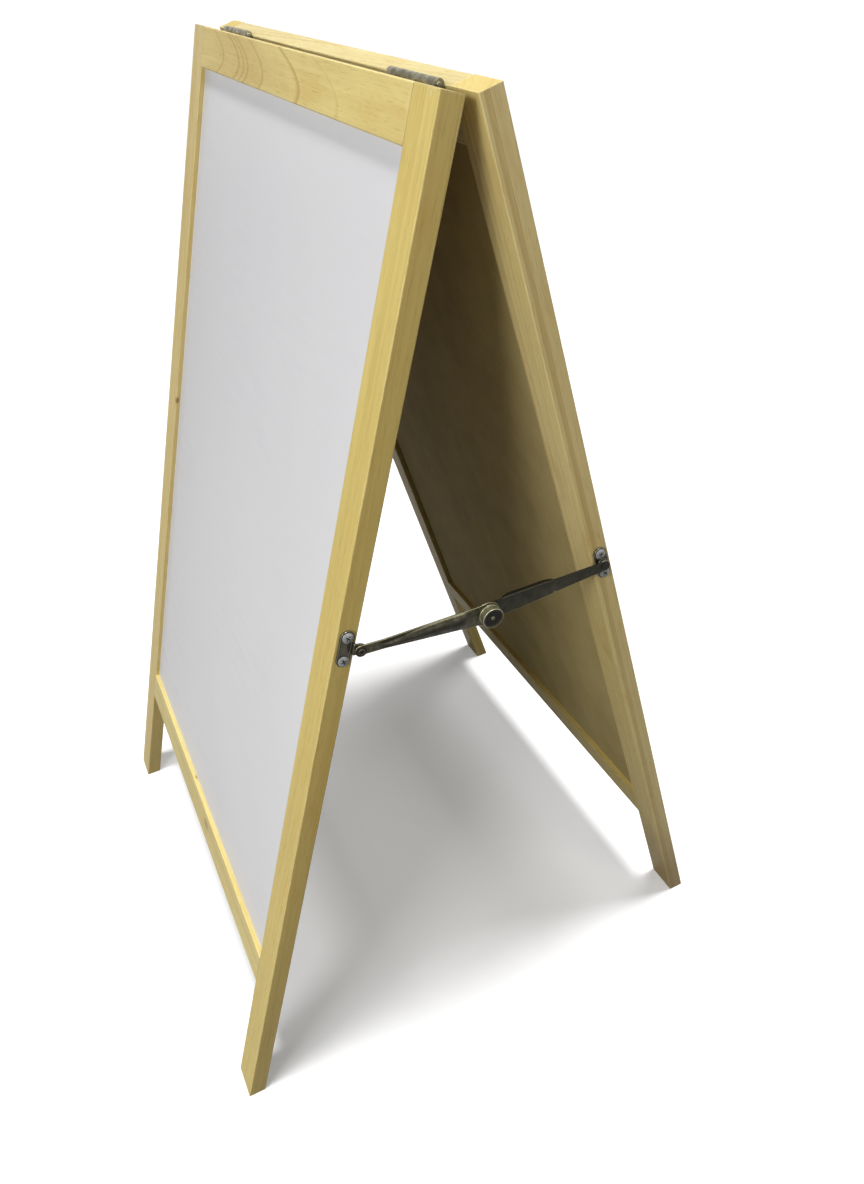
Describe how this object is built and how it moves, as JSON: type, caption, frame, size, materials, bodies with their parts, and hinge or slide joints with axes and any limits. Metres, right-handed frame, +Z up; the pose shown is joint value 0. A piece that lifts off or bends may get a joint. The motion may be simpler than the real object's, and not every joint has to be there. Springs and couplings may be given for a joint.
{
  "type": "a-frame sign",
  "caption": "Folding wooden pavement sign: hinged stile-and-rail frames with blank white writing panels and folding side stays.",
  "frame": {"origin": "on the floor, midway between the four feet, below the hinge axis", "axes": "+Z up, +X along the hinge axis to the sign's right seen from the front, front panel faces -Y"},
  "size_m": [0.645, 0.6348, 1.0283],
  "materials": {
    "pine": "clear-finished planed pine",
    "dowel_wood": "plain beech",
    "hardboard": "smooth brown hardboard",
    "white_face": "white writing surface, satin",
    "hinge_steel": "dull plated steel",
    "stay_steel": "antique bronze plating",
    "zinc": "bright zinc plating"
  },
  "bodies": {
    "front_frame": {"front_right_stile": "pine", "front_left_stile": "pine", "front_top_rail": "pine", "front_bottom_rail": "pine", "front_dowels": "dowel_wood", "front_backing_board": "hardboard", "front_white_sheet": "white_face", "right_hinge_front_leaf": "hinge_steel", "right_hinge_front_screws": "hinge_steel", "left_hinge_front_leaf": "hinge_steel", "left_hinge_front_screws": "hinge_steel", "right_stay_front_bracket_screws": "zinc", "right_stay_front_bracket": "stay_steel", "right_stay_front_rivet": "stay_steel", "left_stay_front_bracket_screws": "zinc", "left_stay_front_bracket": "stay_steel", "left_stay_front_rivet": "stay_steel", "right_hinge_pin": "hinge_steel", "left_hinge_pin": "hinge_steel"},
    "rear_frame": {"rear_left_stile": "pine", "rear_right_stile": "pine", "rear_top_rail": "pine", "rear_bottom_rail": "pine", "rear_dowels": "dowel_wood", "rear_backing_board": "hardboard", "rear_white_sheet": "white_face", "left_hinge_rear_leaf": "hinge_steel", "left_hinge_rear_screws": "hinge_steel", "right_hinge_rear_leaf": "hinge_steel", "right_hinge_rear_screws": "hinge_steel", "left_stay_rear_bracket_screws": "zinc", "left_stay_rear_bracket": "stay_steel", "left_stay_rear_rivet": "stay_steel", "right_stay_rear_bracket_screws": "zinc", "right_stay_rear_bracket": "stay_steel", "right_stay_rear_rivet": "stay_steel"},
    "right_front_arm": {"right_stay_front_arm": "stay_steel", "right_stay_knuckle_cap": "stay_steel"},
    "left_front_arm": {"left_stay_front_arm": "stay_steel", "left_stay_knuckle_cap": "stay_steel"},
    "right_rear_arm": {"right_stay_rear_arm": "stay_steel", "right_stay_knuckle_tail": "stay_steel"},
    "left_rear_arm": {"left_stay_rear_arm": "stay_steel", "left_stay_knuckle_tail": "stay_steel"}
  },
  "joints": [
    {"name": "fold", "type": "hinge", "parent": "front_frame", "child": "rear_frame", "pos_m": [0, 0, 1.02348], "axis": [-1, 0, 0], "range_deg": [0, 32]},
    {"name": "right_front_arm_swing", "type": "hinge", "parent": "front_frame", "child": "right_front_arm", "pos_m": [0.305, -0.11861, 0.6189], "axis": [1, 0, 0], "range_deg": [0, 70.42]},
    {"name": "right_rear_arm_swing", "type": "hinge", "parent": "rear_frame", "child": "right_rear_arm", "pos_m": [0.305, 0.13004, 0.61896], "axis": [-1, 0, 0], "range_deg": [0, 76.64]},
    {"name": "left_front_arm_swing", "type": "hinge", "parent": "front_frame", "child": "left_front_arm", "pos_m": [-0.305, -0.11861, 0.6189], "axis": [1, 0, 0], "range_deg": [0, 70.42]},
    {"name": "left_rear_arm_swing", "type": "hinge", "parent": "rear_frame", "child": "left_rear_arm", "pos_m": [-0.305, 0.13004, 0.61896], "axis": [-1, 0, 0], "range_deg": [0, 76.64]}
  ],
  "couplings": [
    {"joint": "right_front_arm_swing", "follows": "fold", "ratio": 2.2003},
    {"joint": "right_rear_arm_swing", "follows": "fold", "ratio": 2.3946},
    {"joint": "left_front_arm_swing", "follows": "fold", "ratio": 2.2003},
    {"joint": "left_rear_arm_swing", "follows": "fold", "ratio": 2.3946}
  ]
}
